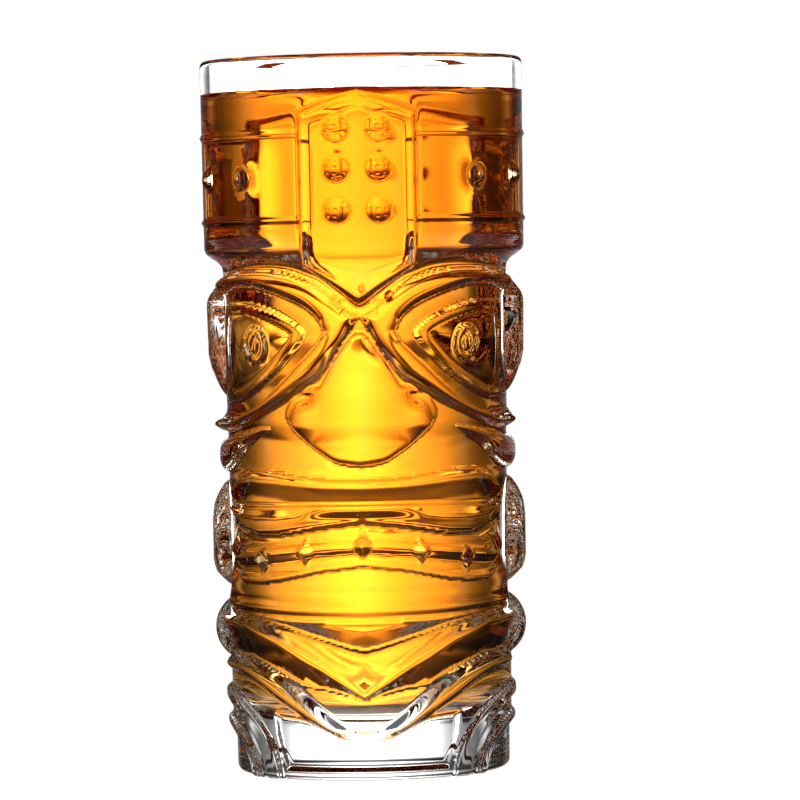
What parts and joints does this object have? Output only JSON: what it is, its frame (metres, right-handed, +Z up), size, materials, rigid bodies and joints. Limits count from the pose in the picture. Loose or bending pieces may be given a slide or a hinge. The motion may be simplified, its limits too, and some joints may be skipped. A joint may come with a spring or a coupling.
{
  "type": "drinking glass",
  "caption": "Tall clear glass tumbler moulded as a two-faced tiki mask with a banded head, side ears and knobs, filled with an amber drink.",
  "frame": {"origin": "centre of the base, on the plane it stands on", "axes": "+Z up along the tumbler's axis, -Y out of one carved face and +Y out of the other, +X to the right of someone who looks along +Y"},
  "size_m": [0.0732, 0.0766, 0.16],
  "materials": {
    "clear_glass": "gloss",
    "amber_drink": "gloss"
  },
  "bodies": {
    "root": {"glass_tumbler": "clear_glass", "drink": "amber_drink"}
  },
  "joints": []
}
